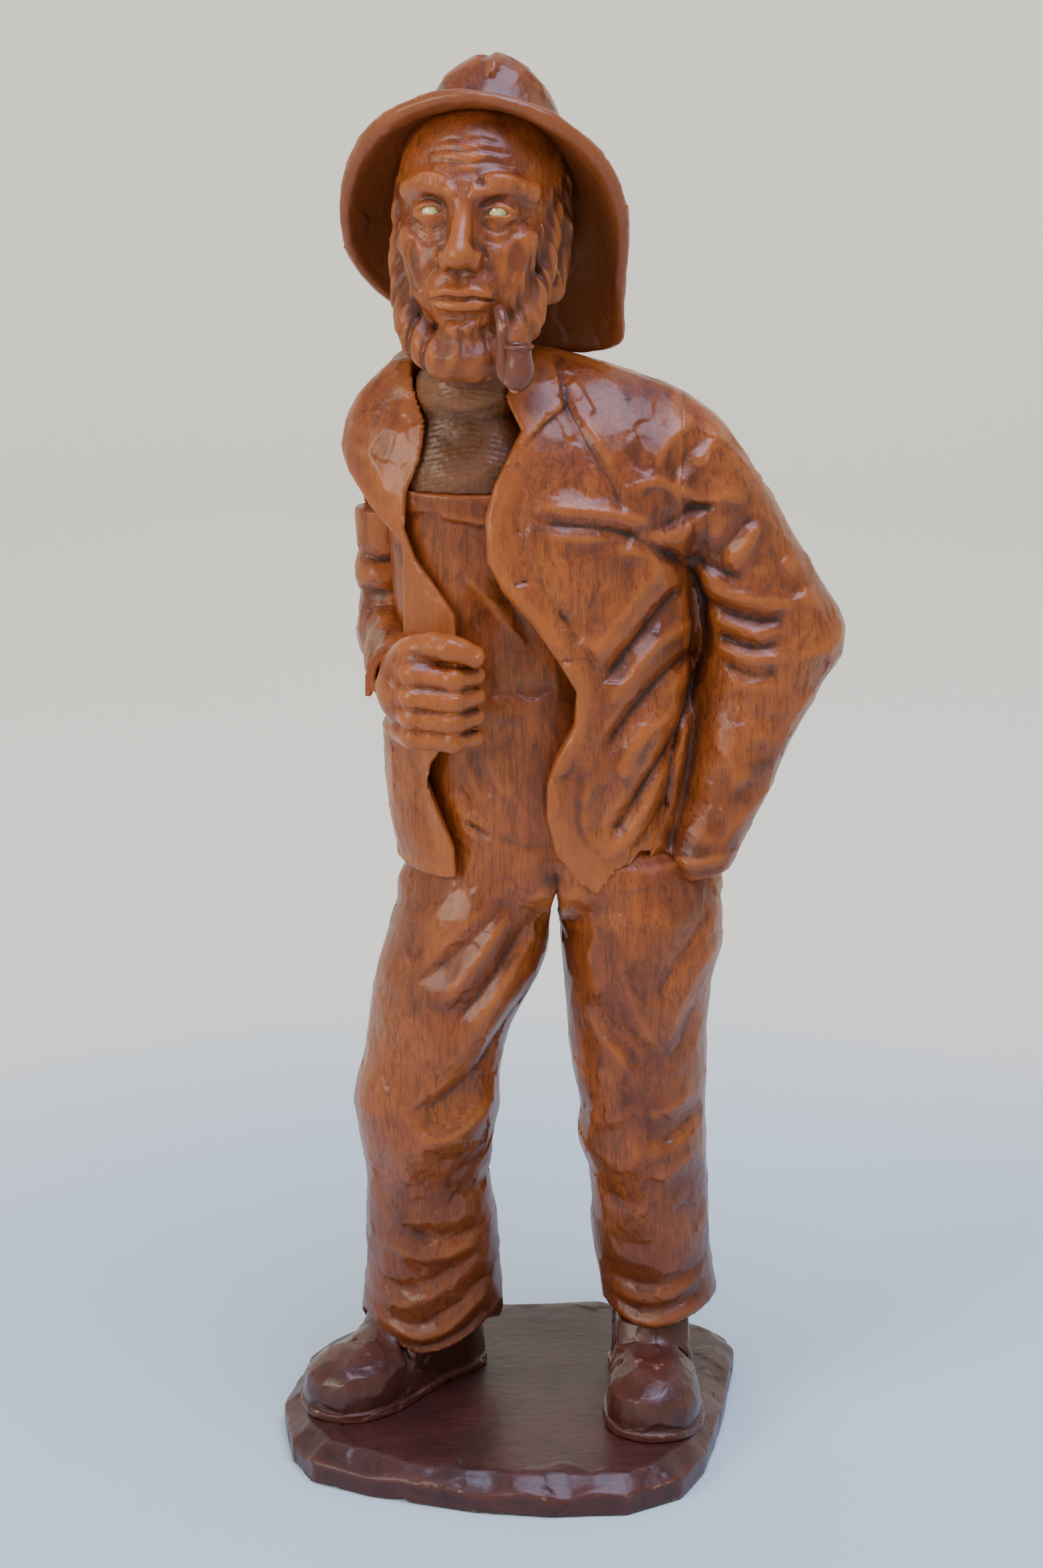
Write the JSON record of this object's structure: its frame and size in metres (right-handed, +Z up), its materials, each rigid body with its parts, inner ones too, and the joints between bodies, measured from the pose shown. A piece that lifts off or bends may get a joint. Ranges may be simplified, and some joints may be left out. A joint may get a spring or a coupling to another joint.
{
  "type": "carved wooden figurine",
  "caption": "Carved and varnished wooden figurine of a standing seaman in sou'wester, open jacket and boots, with a pipe, on a flat plinth.",
  "frame": {"origin": "middle of the plinth's underside", "axes": "+Z up, the figure faces -Y, its right side is at -X"},
  "size_m": [0.2571, 0.206, 0.64],
  "materials": {
    "figure_wood": "orange-brown stained and varnished carved hardwood",
    "boot_wood": "darker red-brown stained and varnished carved hardwood",
    "plinth_wood": "dark red-brown stained and varnished board, grain crosswise",
    "dark_stained_wood": "dark brown stained carved hardwood",
    "dowel_wood": "plain beech dowel, unfinished",
    "screw_steel": "plain steel wood screw",
    "eye_glass": "pale yellow glass"
  },
  "bodies": {
    "root": {"base_plinth": "plinth_wood", "base_screws": "screw_steel", "right_boot": "boot_wood", "left_boot": "boot_wood", "right_trouser_leg": "figure_wood", "left_trouser_leg": "figure_wood", "overalls_body": "figure_wood", "sweater_chest": "dark_stained_wood", "jacket_back": "figure_wood", "jacket_right_front": "figure_wood", "jacket_left_front": "figure_wood", "right_sleeve": "figure_wood", "left_sleeve": "figure_wood", "right_hand": "figure_wood", "head": "figure_wood", "sou_wester_hat": "figure_wood", "pipe_stem": "dark_stained_wood", "pipe_bowl": "dark_stained_wood", "right_glass_eye": "eye_glass", "left_glass_eye": "eye_glass", "ankle_dowels": "dowel_wood", "hip_dowels": "dowel_wood", "chest_dowels": "dowel_wood", "back_dowels": "dowel_wood", "shoulder_dowels": "dowel_wood", "wrist_dowel": "dowel_wood", "neck_dowel": "dowel_wood", "hat_dowel": "dowel_wood"}
  },
  "joints": []
}
